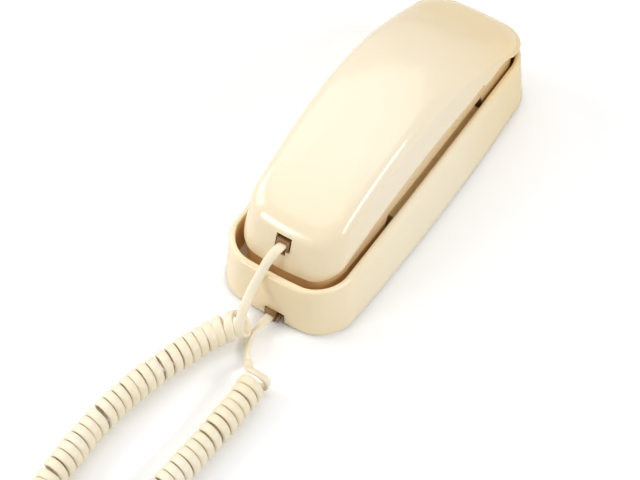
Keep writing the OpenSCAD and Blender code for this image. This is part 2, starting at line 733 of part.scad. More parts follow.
function front_plan(inset) =
  [for (p = plan(front_w - 2 * inset, front_near + inset, front_far - inset,
                 hs_r_near - inset, hs_r_far - 2 - inset))
    let (b = bow(p, front_w, front_near, front_far, 0, hs_bow - 0.5),
         u = max(0, (hs_mid - b[1]) / (hs_mid - front_near)))
    [b[0] * (1 - front_taper * u * u), b[1]]];

// Side view of the trough: its underside raised by t, its top t_top from the parting line.
function front_side(t, t_top) = concat(
  [for (i = [0:24]) let (y = hs_near - 10 + (hs_len + 20) * i / 24) [y, part_z(y) + t_top]],
  [[hs_far + 10, far_cup_z + t], [far_ramp[1] + t, far_cup_z + t], [far_ramp[0] + t, face_h + t],
   [near_ramp[1] - t, face_h + t], [near_ramp[0] - t, near_cup_z + t],
   [hs_near - 10, near_cup_z + t]]);

// Height of the cup's underside below a screw
function cup_z(p) = p[1] < 0 ? near_cup_z : far_cup_z;

module side_prism(points, w) {
  rotate([90, 0, 90]) translate([0, 0, -w]) linear_extrude(2 * w) polygon(points);
}

module trough(inset, t, t_top) {
  intersection() {
    linear_extrude(100) polygon(front_plan(inset));
    side_prism(front_side(t, t_top), 50);
  }
}

// Flange under the back shell's edge, which closes the handset where that overhangs.
module seam_flange() {
  intersection() {
    linear_extrude(100) polygon(hs_plan(hs_wall + 0.9));
    side_prism(concat(
      [for (i = [0:24]) let (y = hs_near - 10 + (hs_len + 20) * i / 24) [y, part_z(y) - seam]],
      [for (i = [24:-1:0]) let (y = hs_near - 10 + (hs_len + 20) * i / 24)
        [y, part_z(y) - 1]]), 50);
  }
}

// Keys in reading order, three to a row
// The rows count from the earpiece and the columns from the left of whoever looks at the face.
function key_at(i) = [(1 - i % 3) * key_pitch_x, key_row_y + (3 - floor(i / 3)) * key_pitch_y];
function fn_key_at(i) = [(1 - i) * key_pitch_x, key_row_y + 4 * key_pitch_y + 2];

hs_board_z = face_h + hs_wall + 3.8;
volume_x = -front_w / 2 + hs_wall + 0.6;
volume_d = 3.2;
hs_board_w = 2 * (-volume_x - volume_d - 0.3);
hs_board_y = [key_row_y - 12, plunger_y - 5];
post_x = hs_board_w / 2 - 2;
post_at = [for (x = [-post_x, post_x], y = [hs_board_y[0] + 3, hs_board_y[1] - 3]) [x, y]];
receiver_y = front_far - 15.5;
receiver_d = 28;
mic_y = front_near + 15;
mic_d = 9.7;
volume_y = 14;
volume_z = face_h + 5;

module key_opening(at, l) {
  block([at[0] - key_w / 2 - key_gap, at[1] - l / 2 - key_gap, face_h - over],
        [at[0] + key_w / 2 + key_gap, at[1] + l / 2 + key_gap, face_h + hs_wall + over]);
}

module handset_front_shell() color(cream) {
  difference() {
    union() {
      difference() {
        union() {
          trough(0, 0, -seam);
          seam_flange();
        }
        trough(hs_wall, hs_wall, 10);
      }
      for (p = hs_screw_at)
        rod(p[0], p[1], cup_z(p) + 1, hs_boss_z, hs_tube_d);
      for (p = post_at) rod(p[0], p[1], face_h + 1, hs_board_z, 4);
      // Seats of the receiver and the microphone
      rod(0, receiver_y, far_cup_z + 1, far_cup_z + hs_wall + 3, receiver_d + 4);
      rod(0, mic_y, near_cup_z + 1, near_cup_z + hs_wall + 3, mic_d + 7);
    }
    for (p = hs_screw_at) {
      rod(p[0], p[1], cup_z(p) - over, hs_boss_z + over, screw_d + 0.4);
      rod(p[0], p[1], cup_z(p) - over, hs_screw_seat, screw_head_d + 0.6);
    }
    rod(0, receiver_y, far_cup_z + hs_wall, far_cup_z + hs_wall + 4, receiver_d + 0.6);
    rod(0, mic_y, near_cup_z + hs_wall, near_cup_z + hs_wall + 4, mic_d + 4.3);
    for (i = [0:11]) key_opening(key_at(i), key_l);
    for (i = [0:2]) key_opening(fn_key_at(i), fn_key_l);
    // Sound holes: a middle hole and two rings over the receiver, a row over the microphone
    rod(0, receiver_y, far_cup_z - over, far_cup_z + hs_wall + over, 2);
    for (k = [1, 2]) for (i = [0:6 * k - 1])
      rod(4 * k * cos(60 * i / k), receiver_y + 4 * k * sin(60 * i / k),
          far_cup_z - over, far_cup_z + hs_wall + over, 2);
    for (i = [-1:1]) rod(3 * i, mic_y, near_cup_z - over, near_cup_z + hs_wall + over, 1.8);
    // Slot of the volume slide
    block([-front_w, volume_y - slot_l / 2, volume_z - slide_gap],
          [-front_w / 2 + 6, volume_y + slot_l / 2, volume_z + slide_h + slide_gap]);
  }
}

module handset_screws() color(steel) {
  for (p = hs_screw_at) screw(p[0], p[1], hs_screw_seat - 1.8, 14);
}

module handset_weight() color(steel)
  block([-8.5, mic_y + 12, near_cup_z + hs_wall], [8.5, mic_y + 25.5, near_cup_z + hs_wall + 8]);

module key(at, l) {
  z1 = face_h + hs_wall + key_gap;
  block([at[0] - key_w / 2, at[1] - l / 2, face_h - key_proud], [at[0] + key_w / 2, at[1] + l / 2, z1]);
  block([at[0] - key_w / 2 - 1, at[1] - l / 2 - 1, z1], [at[0] + key_w / 2 + 1, at[1] + l / 2 + 1,
        z1 + 0.8]);
}

module number_key(i) color(cream) key(key_at(i), key_l);
module function_key(i) color(cream * 0.9) key(fn_key_at(i), fn_key_l);

mat_z0 = face_h + hs_wall + key_gap + 0.8 + key_travel + 0.2;

// Rubber sheet with a dome over each key, against the underside of the board.
module keypad_mat() color([0.5, 0.5, 0.52]) {
  difference() {
    block([-hs_board_w / 2, hs_board_y[0], hs_board_z - 0.8],
          [hs_board_w / 2, hs_board_y[1], hs_board_z]);
    for (p = post_at) rod(p[0], p[1], hs_board_z - 2, hs_board_z + over, 5);
  }
  for (i = [0:11]) rod(key_at(i)[0], key_at(i)[1], mat_z0, hs_board_z - 0.8, 6);
  for (i = [0:2]) rod(fn_key_at(i)[0], fn_key_at(i)[1], mat_z0, hs_board_z - 0.8, 5);
}

module handset_board() color(board_green) difference() {
  block([-hs_board_w / 2, hs_board_y[0], hs_board_z],
        [hs_board_w / 2, hs_board_y[1], hs_board_z + board_t]);
  for (p = post_at) rod(p[0], p[1], hs_board_z - over, hs_board_z + board_t + over, 2);
}

module handset_board_parts() color(dark) {
  z = hs_board_z + board_t;
  block([-9, -6, z], [9, 2, z + 3.5]);
  block([8, 14, z], [18, 20, z + 2.4]);
  for (x = [-18, -10]) rod(x, 22, z, z + 8, 6.3);
  rod(16, -18, z, z + 6, 5);
  for (y = [-20, -14]) block([-4, y, z], [2, y + 2.5, z + 2]);
}

module receiver() color(dark) {
  z = far_cup_z + hs_wall + 1.2;
  translate([0, receiver_y, z]) {
    cylinder(h = 5, d = receiver_d, $fn = 64);
    translate([0, 0, 5]) cylinder(h = 4, d = receiver_d - 12, $fn = 64);
  }
}

module receiver_gasket() color([0.3, 0.3, 0.3])
  translate([0, receiver_y, far_cup_z + hs_wall]) difference() {
    cylinder(h = 1.2, d = receiver_d, $fn = 64);
    translate([0, 0, -over]) cylinder(h = 4, d = receiver_d - 8, $fn = 64);
  }

module microphone() color(steel) rod(0, mic_y, near_cup_z + hs_wall + 1, near_cup_z + hs_wall + 7.5,
                                     mic_d);
module microphone_boot() color(dark) difference() {
  rod(0, mic_y, near_cup_z + hs_wall, near_cup_z + hs_wall + 7.5, mic_d + 4);
  rod(0, mic_y, near_cup_z + hs_wall + 1, near_cup_z + hs_wall + 9, mic_d);
  rod(0, mic_y, near_cup_z + hs_wall - over, near_cup_z + hs_wall + 2, 5);
}

module volume_switch() color(steel) difference() {
  block([volume_x, volume_y - 8, face_h + hs_wall], [volume_x + volume_d, volume_y + 8, volume_z + 6]);
  block([volume_x - over, volume_y - slot_l / 2, volume_z - slide_gap],
        [volume_x + 2, volume_y + slot_l / 2, volume_z + slide_h + slide_gap]);
}

module volume_slide() color(dark)
  block([-front_w / 2 - 1, volume_y - slide_w / 2, volume_z],
        [volume_x + 1.7, volume_y + slide_w / 2, volume_z + slide_h]);

// ------------------------------------------------------------ cord

// Points along the middle of each stretch, from the phone outwards.
handset_lead = [[-0.5, -94.75, 49.1], [-0.5, -97.1, 49.7], [-1.1, -99.6, 49.4],
                [-2.1, -102.2, 47.4], [-3.3, -104.8, 44], [-4.3, -107.6, 39.8], [-5, -110.8, 36],
                [-5.6, -113.8, 32.2], [-5.9, -116.8, 29.2], [-5.8, -119.8, 26.7],
                [-5.6, -122.8, 24.6], [-5.4, -125, 23]];
base_lead = [[1, -110.45, 4.8], [1, -112.4, 4.8], [-0.1, -118.4, 4], [-0.8, -123, 3.2],
             [0, -128, 2.9], [1.6, -132.6, 2.9], [4.2, -137, 2.9], [7.4, -140.8, 3.4],
             [11.2, -143.8, 4.6], [14.4, -145.4, 6.2]];
coil_route = [[-3.8, -125.4, 12.8], [-9, -128.8, 10.8], [-14, -134.5, 9.2],
              [-18.4, -143.4, 8.2], [-23.6, -158, 8.2], [-30, -180, 8.2],
              [-34, -200, 8.2], [-35.6, -220, 8.2], [-35.6, -240, 8.2], [-34.6, -258, 8.2],
              [-29.6, -274, 8.2], [-18.6, -286, 8.2], [-4, -290, 8.2], [8, -282, 8.2],
              [13, -266, 8.2], [14, -248, 8.2], [15, -228, 8.2], [17, -206, 8.2],
              [18.4, -184, 8.2], [19.2, -164, 8.2], [18.4, -148, 8.2]];

function unit(v) = v / norm(v);
// A ring round point i, square to the path.
function tube_ring(path, i, r, n) = let (
    a = path[max(0, i - 1)], b = path[min(len(path) - 1, i + 1)], t = unit(b - a),
    s = unit(cross(t, [0, 0, 1])), u = cross(s, t))
  [for (k = [n - 1:-1:0]) path[i] + r * (cos(360 * k / n) * s + sin(360 * k / n) * u)];

module tube(path, d, n) {
  skin([for (i = [0:len(path) - 1]) tube_ring(path, i, d / 2, n)]);
}

module cord_lead_handset() color(cream) tube(handset_lead, lead_d, 8);
module cord_lead_base() color(cream) tube(base_lead, lead_d, 8);
module cord_coil() color(cream) tube(coil_route, coil_d, 12);

// ------------------------------------------------------------ assembly

base_casing();
bottom_plate();
rubber_feet();
base_screws();
base_board();
base_board_parts();
board_spacers();
ringer_holder();
ringer_disc();
base_weight();
hook_switch();
hook_plunger();
hook_spring();
ringer_switch();
ringer_slide();
base_jack();
base_jack_contacts();
line_jack();
line_jack_contacts();
handset_back_shell();
handset_front_shell();
handset_screws();
handset_weight();
handset_board();
handset_board_parts();
keypad_mat();
receiver();
receiver_gasket();
microphone();
microphone_boot();
volume_switch();
volume_slide();
handset_jack();
handset_jack_contacts();
handset_plug();
base_plug();
plug_contacts_handset();
plug_contacts_base();
cord_lead_handset();
cord_lead_base();
cord_coil();
number_key(0);  // key_1
number_key(1);  // key_2
number_key(2);  // key_3
number_key(3);  // key_4
number_key(4);  // key_5
number_key(5);  // key_6
number_key(6);  // key_7
number_key(7);  // key_8
number_key(8);  // key_9
number_key(9);  // key_star
number_key(10);  // key_0
number_key(11);  // key_pound
function_key(0);  // key_flash
function_key(1);  // key_redial
function_key(2);  // key_mute
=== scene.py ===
import bisect
import math
import bpy
import bmesh
from mathutils import Matrix, Vector


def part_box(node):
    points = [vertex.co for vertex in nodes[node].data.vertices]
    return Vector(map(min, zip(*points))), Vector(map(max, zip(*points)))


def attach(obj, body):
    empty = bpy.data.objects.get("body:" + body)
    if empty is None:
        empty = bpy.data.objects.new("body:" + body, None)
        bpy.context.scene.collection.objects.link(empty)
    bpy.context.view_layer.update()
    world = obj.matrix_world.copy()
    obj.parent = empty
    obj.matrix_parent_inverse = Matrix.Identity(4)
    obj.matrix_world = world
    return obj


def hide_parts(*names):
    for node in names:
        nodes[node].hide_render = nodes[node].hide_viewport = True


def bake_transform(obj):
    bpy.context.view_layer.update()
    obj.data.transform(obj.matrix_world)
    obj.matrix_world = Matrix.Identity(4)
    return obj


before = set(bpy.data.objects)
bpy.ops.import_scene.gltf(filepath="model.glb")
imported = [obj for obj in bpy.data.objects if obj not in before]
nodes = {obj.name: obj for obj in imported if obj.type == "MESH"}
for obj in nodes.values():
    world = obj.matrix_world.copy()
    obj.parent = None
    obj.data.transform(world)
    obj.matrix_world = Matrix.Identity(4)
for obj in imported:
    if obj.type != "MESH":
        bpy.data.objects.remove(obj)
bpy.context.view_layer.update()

scene = bpy.context.scene
MM = 0.001


# ---------------------------------------------------------------- camera

def add_camera():
    """The photograph's camera, as fitted to the outlines of the base and the handset."""
    azimuth, elevation, distance = math.radians(32.81), math.radians(53.78), 1.1777
    target = Vector((1.44, -61.8, 17.25)) * MM
    away = Vector((math.sin(azimuth) * math.cos(elevation),
                   -math.cos(azimuth) * math.cos(elevation),
                   math.sin(elevation)))
    data = bpy.data.cameras.new("camera")
    data.sensor_width = 36
    data.lens = 123.75
    data.clip_start, data.clip_end = 0.05, 20
    camera = bpy.data.objects.new("camera", data)
    camera.location = target + away * distance
    camera.rotation_euler = (-away).to_track_quat("-Z", "Y").to_euler()
    scene.collection.objects.link(camera)
    scene.camera = camera


add_camera()


# ---------------------------------------------------------------- materials

def node_material(name):
    material = bpy.data.materials.new(name)
    material.use_nodes = True
    tree = material.node_tree
    shader = next(n for n in tree.nodes if n.type == "BSDF_PRINCIPLED")
    return material, tree, shader


def add_node(tree, kind, inputs=None, **settings):
    node = tree.nodes.new(kind)
    for key, value in settings.items():
        setattr(node, key, value)
    for key, value in (inputs or {}).items():
        node.inputs[key].default_value = value
    return node


def ramp(tree, source, stops):
    node = tree.nodes.new("ShaderNodeValToRGB")
    elements = node.color_ramp.elements
    while len(elements) < len(stops):
        elements.new(0.5)
    for element, (place, colour) in zip(elements, stops):
        element.position = place
        element.color = (*colour, 1)
    tree.links.new(source, node.inputs[0])
    return node.outputs[0]


def noise(tree, scale, detail=3.0, roughness=0.5):
    place = tree.nodes.new("ShaderNodeTexCoord")
    node = add_node(tree, "ShaderNodeTexNoise",
                    {"Scale": scale, "Detail": detail, "Roughness": roughness})
    tree.links.new(place.outputs["Object"], node.inputs["Vector"])
    return node.outputs["Fac"]


def bump(tree, shader, sources, distance=0.0001):
    last = None
    for height, strength in sources:
        node = add_node(tree, "ShaderNodeBump", {"Strength": strength, "Distance": distance})
        tree.links.new(height, node.inputs["Height"])
        if last:
            tree.links.new(last.outputs["Normal"], node.inputs["Normal"])
        last = node
    tree.links.new(last.outputs["Normal"], shader.inputs["Normal"])


def plastic(name, colour, deep, low, high, coat=0.0, grain=900, grain_strength=0.03, patch=14):
    """Moulded plastic: patchy colour between two tones, uneven gloss and a fine skin."""
    material, tree, shader = node_material(name)
    patches = noise(tree, patch, 4)
    tree.links.new(ramp(tree, patches, [(0.35, colour), (0.75, deep)]),
                   shader.inputs["Base Color"])
    smears = noise(tree, 60, 6, 0.7)
    tree.links.new(ramp(tree, smears, [(0.3, (low,) * 3), (0.75, (high,) * 3)]),
                   shader.inputs["Roughness"])
    bump(tree, shader, [(noise(tree, grain, 2), grain_strength),
                        (noise(tree, 70, 2), 0.05)])
    shader.inputs["IOR"].default_value = 1.5
    shader.inputs["Coat Weight"].default_value = coat
    shader.inputs["Coat Roughness"].default_value = 0.08
    return material


PALEST_Y = 0.025  # how far the palest part of a shell lies on the near side of y = 0


def shell_plastic(name, pale_tone, end_tone, y_fade, low=0.16, high=0.26):
    """Glossy ivory shell, more yellow towards its ends, over y_fade metres."""
    material, tree, shader = node_material(name)
    place = tree.nodes.new("ShaderNodeTexCoord")
    axis = tree.nodes.new("ShaderNodeSeparateXYZ")
    tree.links.new(place.outputs["Object"], axis.inputs[0])
    along = add_node(tree, "ShaderNodeMath", {1: PALEST_Y}, operation="ADD")
    tree.links.new(axis.outputs["Y"], along.inputs[0])
    far = add_node(tree, "ShaderNodeMath", {1: y_fade}, operation="DIVIDE")
    tree.links.new(along.outputs[0], far.inputs[0])
    square = add_node(tree, "ShaderNodeMath", {1: 2.0}, operation="POWER")
    size = add_node(tree, "ShaderNodeMath", operation="ABSOLUTE")
    tree.links.new(far.outputs[0], size.inputs[0])
    tree.links.new(size.outputs[0], square.inputs[0])
    speck = add_node(tree, "ShaderNodeMath", {1: 0.35}, operation="MULTIPLY")
    tree.links.new(noise(tree, 16, 5), speck.inputs[0])
    total = add_node(tree, "ShaderNodeMath", operation="ADD", use_clamp=True)
    tree.links.new(square.outputs[0], total.inputs[0])
    tree.links.new(speck.outputs[0], total.inputs[1])
    tree.links.new(ramp(tree, total.outputs[0], [(0.15, pale_tone), (1.0, end_tone)]),
                   shader.inputs["Base Color"])
    smears = noise(tree, 55, 6, 0.7)
    tree.links.new(ramp(tree, smears, [(0.3, (low,) * 3), (0.75, (high,) * 3)]),
                   shader.inputs["Roughness"])
    bump(tree, shader, [(noise(tree, 1100, 2), 0.03), (noise(tree, 45, 2), 0.03)])
    shader.inputs["IOR"].default_value = 1.5
    shader.inputs["Coat Weight"].default_value = 0.3
    shader.inputs["Coat Roughness"].default_value = 0.06
    shader.inputs["Subsurface Weight"].default_value = 0.12
    shader.inputs["Subsurface Radius"].default_value = (0.004, 0.003, 0.0015)
    shader.inputs["Subsurface Scale"].default_value = 1.0
    return material


def metal(name, colour, low, high, brushed=False):
    """Metal with dull patches; brushed gives it a finer skin."""
    material, tree, shader = node_material(name)
    shader.inputs["Metallic"].default_value = 1.0
    dark = tuple(c * 0.75 for c in colour)
    tree.links.new(ramp(tree, noise(tree, 90, 5), [(0.3, dark), (0.7, colour)]),
                   shader.inputs["Base Color"])
    fine = noise(tree, 2600 if brushed else 400, 3)
    tree.links.new(ramp(tree, fine, [(0.3, (low,) * 3), (0.7, (high,) * 3)]),
                   shader.inputs["Roughness"])
    bump(tree, shader, [(fine, 0.08)])
    return material


IVORY = (0.90, 0.79, 0.60)
IVORY_ENDS = (0.88, 0.68, 0.38)
M = {
    "shell": shell_plastic("ivory_shell", IVORY, IVORY_ENDS, 0.125),
    "base": shell_plastic("ivory_base", (0.92, 0.81, 0.60), (0.88, 0.68, 0.36), 0.13),
    # The handset's lower shell is tan: partly its own older tone, partly painted shade of the
    # strip seen under the back shell.
    "front": shell_plastic("ivory_front_tone_and_shade", (0.78, 0.58, 0.34), (0.75, 0.52, 0.26), 0.13,
                           0.24, 0.36),
    # The base's inside is painted a saturated orange: painted bounce light and shade between its
    # ivory walls.
    "inside_painted_bounce": shell_plastic("ivory_inside_painted_bounce", (0.97, 0.72, 0.36), (0.95, 0.64, 0.27), 0.13,
                           0.3, 0.42),
    "plate": plastic("plate_satin", (0.62, 0.54, 0.39), (0.55, 0.46, 0.31), 0.5, 0.65,
                     grain=500, grain_strength=0.25),
    "key": plastic("key_ivory", (0.86, 0.78, 0.62), (0.82, 0.72, 0.53), 0.25, 0.36),
    "ink": plastic("key_ink", (0.03, 0.03, 0.035), (0.05, 0.05, 0.05), 0.4, 0.55),
    "rubber": plastic("rubber_black", (0.03, 0.03, 0.03), (0.05, 0.048, 0.045), 0.6, 0.8,
                      grain=700, grain_strength=0.3),
    "silicone": plastic("silicone_grey", (0.3, 0.3, 0.31), (0.25, 0.25, 0.26), 0.5, 0.65),
    "smoke": plastic("smoked_brown", (0.13, 0.06, 0.022), (0.06, 0.026, 0.01), 0.12, 0.25,
                     coat=0.4),
    "black": plastic("black_satin", (0.025, 0.023, 0.02), (0.04, 0.036, 0.03), 0.32, 0.5),
    "board": plastic("board_green", (0.03, 0.13, 0.05), (0.04, 0.17, 0.07), 0.25, 0.4, patch=120),
    "steel": metal("steel_zinc", (0.62, 0.63, 0.65), 0.28, 0.42, True),
    "gold": metal("contact_gold", (0.85, 0.62, 0.25), 0.2, 0.32),
    "brass": metal("sounder_brass", (0.78, 0.58, 0.25), 0.25, 0.38, True),
    "cord": plastic("cord_vinyl", (0.92, 0.84, 0.67), (0.87, 0.75, 0.53), 0.34, 0.46,
                    grain=1500, grain_strength=0.05, patch=22),
}


def clear_plug():
    """Tinted clear plastic of the modular plugs."""
    material, tree, shader = node_material("plug_amber")
    tree.links.new(ramp(tree, noise(tree, 160, 4), [(0.3, (0.66, 0.38, 0.15)),
                                                    (0.75, (0.42, 0.20, 0.06))]),
                   shader.inputs["Base Color"])
    shader.inputs["Roughness"].default_value = 0.1
    shader.inputs["Transmission Weight"].default_value = 0.5
    shader.inputs["IOR"].default_value = 1.5
    bump(tree, shader, [(noise(tree, 500, 2), 0.06)])
    return material


M["plug"] = clear_plug()


# ---------------------------------------------------------------- mesh tools

def new_piece(name, vertices, faces, material, body, smooth=True):
    """A mesh from vertices in mm, which rides on a body."""
    mesh = bpy.data.meshes.new(name)
    mesh.from_pydata([tuple(c * MM for c in v) for v in vertices], [], faces)
    mesh.validate()
    mesh.materials.append(material)
    piece = bpy.data.objects.new(name, mesh)
    scene.collection.objects.link(piece)
    mesh.polygons.foreach_set("use_smooth", [smooth] * len(mesh.polygons))
    if body:
        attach(piece, body)
    return piece


def loft(rings, first=None, last=None):
    """Vertices and faces through rings of equally many points.

    The points first and last close the ends.
    """
    n = len(rings[0])
    vertices = [p for ring in rings for p in ring]
    faces = []
    for k in range(len(rings) - 1):
        for i in range(n):
            a, b = k * n + i, k * n + (i + 1) % n
            faces.append((a, b, b + n, a + n))
    if first:
        vertices.append(first)
        faces += [((i + 1) % n, i, len(vertices) - 1) for i in range(n)]
    if last:
        vertices.append(last)
        base = (len(rings) - 1) * n
        faces += [(base + i, base + (i + 1) % n, len(vertices) - 1) for i in range(n)]
    return vertices, faces


CORNER, ALONG, ACROSS = 14, 56, 10  # steps in a plan's corners, long sides and ends


def arc(cx, cy, r, start):
    return [(cx + r * math.cos(math.radians(start + 90 * i / CORNER)),
             cy + r * math.sin(math.radians(start + 90 * i / CORNER))) for i in range(CORNER + 1)]


def between(p, q, n):
    return [(p[0] + (q[0] - p[0]) * i / n, p[1] + (q[1] - p[1]) * i / n) for i in range(1, n)]


def plan(w, y0, y1, r_near, r_far):
    """A rounded rectangle seen from above, as points."""
    h = w / 2
    return (arc(h - r_far, y1 - r_far, r_far, 0)
            + between((h - r_far, y1), (r_far - h, y1), ACROSS)
            + arc(r_far - h, y1 - r_far, r_far, 90)
            + between((-h, y1 - r_far), (-h, y0 + r_near), ALONG)
            + arc(r_near - h, y0 + r_near, r_near, 180)
            + between((r_near - h, y0), (h - r_near, y0), ACROSS)
            + arc(h - r_near, y0 + r_near, r_near, 270)
            + between((h, y0 + r_near), (h, y1 - r_far), ALONG))


def sign(v):
    return (v > 0) - (v < 0)


def bow(p, w, y0, y1, side, end):
    """A plan's point moved outwards, so that the sides and the ends bulge."""
    u = min(1, abs(2 * p[0] / w))
    v = min(1, abs((2 * p[1] - y0 - y1) / (y1 - y0)))
    return (p[0] + sign(p[0]) * side * (1 - v * v) * u ** 4,
            p[1] + sign(2 * p[1] - y0 - y1) * end * (1 - u * u) * v ** 4)


def cut(piece, name, cutters):
    """Cuts closed solids out of a piece, and keeps the result as its mesh."""
    for i, cutter in enumerate(cutters):
        modifier = piece.modifiers.new(f"cut_{i}", "BOOLEAN")
        modifier.operation = "DIFFERENCE"
        modifier.solver = "EXACT"
        modifier.object = cutter
    bpy.context.view_layer.update()
    result = piece.evaluated_get(bpy.context.evaluated_depsgraph_get())
    mesh = bpy.data.meshes.new_from_object(result)
    mesh.name = name
    piece.modifiers.clear()
    piece.data = mesh
    for cutter in cutters:
        bpy.data.objects.remove(cutter)


def crisp(piece, angle=32):
    """Smooth faces that meet at less than angle, sharp edges elsewhere."""
    mesh = piece.data
    mesh.polygons.foreach_set("use_smooth", [True] * len(mesh.polygons))
    work = bmesh.new()
    work.from_mesh(mesh)
    for edge in work.edges:
        edge.smooth = len(edge.link_faces) == 2 and edge.calc_face_angle(0) < math.radians(angle)
    work.to_mesh(mesh)
    work.free()


def soft_box(name, low, high, radius, material, segments=3):
    """A box with rounded edges, as a loose solid or a piece."""
    work = bmesh.new()
    bmesh.ops.create_cube(work, size=1)
    size = [b - a for a, b in zip(low, high)]
    centre = [(a + b) / 2 for a, b in zip(low, high)]
    bmesh.ops.scale(work, vec=size, verts=work.verts)
    bmesh.ops.bevel(work, geom=list(work.edges), offset=radius, segments=segments,
                    affect="EDGES", profile=0.5)
    bmesh.ops.translate(work, vec=centre, verts=work.verts)
    bmesh.ops.scale(work, vec=(MM,) * 3, verts=work.verts)
    mesh = bpy.data.meshes.new(name)
    work.to_mesh(mesh)
    work.free()
    mesh.materials.append(material)
    piece = bpy.data.objects.new(name, mesh)
    scene.collection.objects.link(piece)
    return piece


def lathe(name, centre, profile, material, body, steps=48):
    """A turned piece: profile is a list of (radius, height)."""
    rings = [[(centre[0] + r * math.cos(2 * math.pi * i / steps),
               centre[1] + r * math.sin(2 * math.pi * i / steps), centre[2] + z)
              for i in range(steps)] for r, z in profile]
    vertices, faces = loft(rings)
    faces.append(tuple(range(steps - 1, -1, -1)))
    last = (len(rings) - 1) * steps
    faces.append(tuple(last + i for i in range(steps)))
    piece = new_piece(name, vertices, faces, material, body)
    crisp(piece, 40)
    return piece


# ---------------------------------------------------------------- cord

# The cord's route, as the solids in the CAD model follow it.
HANDSET_LEAD = [(-0.5, -94.75, 49.1), (-0.5, -97.1, 49.7), (-1.1, -99.6, 49.4),
                (-2.1, -102.2, 47.4), (-3.3, -104.8, 44), (-4.3, -107.6, 39.8),
                (-5, -110.8, 36), (-5.6, -113.8, 32.2),
                (-5.9, -116.8, 29.2), (-5.8, -119.8, 26.7), (-5.6, -122.8, 24.6), (-5.4, -125, 23)]
BASE_LEAD = [(1, -110.45, 4.8), (1, -112.4, 4.8), (-0.1, -118.4, 4), (-0.8, -123, 3.2),
             (0, -128, 2.9), (1.6, -132.6, 2.9), (4.2, -137, 2.9), (7.4, -140.8, 3.4),
             (11.2, -143.8, 4.6), (14.4, -145.4, 6.2)]
COIL = [(-3.8, -125.4, 12.8), (-9, -128.8, 10.8), (-14, -134.5, 9.2), (-18.4, -143.4, 8.2),
        (-23.6, -158, 8.2), (-30, -180, 8.2), (-34, -200, 8.2), (-35.6, -220, 8.2),
        (-35.6, -240, 8.2), (-34.6, -258, 8.2), (-29.6, -274, 8.2), (-18.6, -286, 8.2),
        (-4, -290, 8.2), (8, -282, 8.2), (13, -266, 8.2), (14, -248, 8.2), (15, -228, 8.2),
        (17, -206, 8.2), (18.4, -184, 8.2), (19.2, -164, 8.2), (18.4, -148, 8.2)]
CORD_W, CORD_T, COIL_D = 5.2, 2.6, 15.6
TURN_PITCH, TURN_STEPS = 5.95, 22
COIL_START, COIL_END = 125, 150  # degrees round the line at which the helix starts and ends
HELIX_START = 0.007  # share of the line before the helix
ASKEW, LAST_TWIST = 3.4, 58


def smooth_line(points, step):
    """Points about step apart on a smooth curve through the given ones."""
    p = [Vector(q) for q in points]
    p = [2 * p[0] - p[1]] + p + [2 * p[-1] - p[-2]]
    out = []
    for i in range(1, len(p) - 2):
        count = max(2, round((p[i + 1] - p[i]).length / step))
        for k in range(count):
            t = k / count
            out.append(0.5 * (2 * p[i] + (p[i + 1] - p[i - 1]) * t
                              + (2 * p[i - 1] - 5 * p[i] + 4 * p[i + 1] - p[i + 2]) * t * t
                              + (3 * p[i] - 3 * p[i + 1] + p[i + 2] - p[i - 1]) * t ** 3))
    out.append(Vector(p[-2]))
    return out


def walk(line):
    """A function that gives the place and direction at a share of the line's length."""
    along = [0.0]
    for a, b in zip(line, line[1:]):
        along.append(along[-1] + (b - a).length)
    heading = [(line[min(i + 1, len(line) - 1)] - line[max(i - 1, 0)]).normalized()
               for i in range(len(line))]

    def place(share):
        s = min(max(share, 0), 1) * along[-1]
        k = min(bisect.bisect_right(along, s), len(line) - 1) - 1
        f = (s - along[k]) / (along[k + 1] - along[k])
        return line[k].lerp(line[k + 1], f), heading[k].lerp(heading[k + 1], f).normalized()
    return place, along[-1]


def winding(line, radius):
    """A helix round a line, and the outward direction at each of its points.

    It starts and ends where the leads reach it, on the upper side of the line.
    """
    place, length = walk(line)
    turns = round(length / TURN_PITCH) + (COIL_END - COIL_START) / 360
    count = round(turns * TURN_STEPS)
    # Real turns lie a little unevenly: most press together and some spread apart.
    spread = [0.0]
    for i in range(count):
        turn = turns * i / count
        gap = max(0, math.sin(0.9 * turn + 0.5)) ** 8
        spread.append(spread[-1] + 1 + 0.05 * math.sin(2.1 * turn)
                      + 0.05 * math.sin(3.7 * turn + 1) + 0.3 * gap)
    points, outward = [], []
    for i in range(count + 1):
        turn = turns * i / count
        left = turns - turn
        middle, tangent = place(HELIX_START + (1 - HELIX_START) * spread[i] / spread[-1])
        side = tangent.cross(Vector((0, 0, 1))).normalized()
        up = side.cross(tangent)
        angle = math.radians(COIL_START) + 2 * math.pi * turn
        out = side * math.cos(angle) + up * math.sin(angle)
        # The leads pull the end turns askew.
        shift = 0
        if turn < 1:
            shift = -ASKEW * math.sin(math.pi * turn) ** 2
        elif 0 < left < 1:
            shift = ASKEW * math.sin(math.pi * max(0, left - 0.12) / 0.88) ** 2
        wobble = 0.2 * math.sin(turn * 1.37) * min(1, turn, left)
        points.append(middle + out * (radius + wobble) + tangent * shift)
        # The last turn is twisted towards the phone.
        twist = math.radians(LAST_TWIST) * max(0, 1 - left / 0.6)
        outward.append(out * math.cos(twist) + tangent * math.sin(twist))
    return points, outward


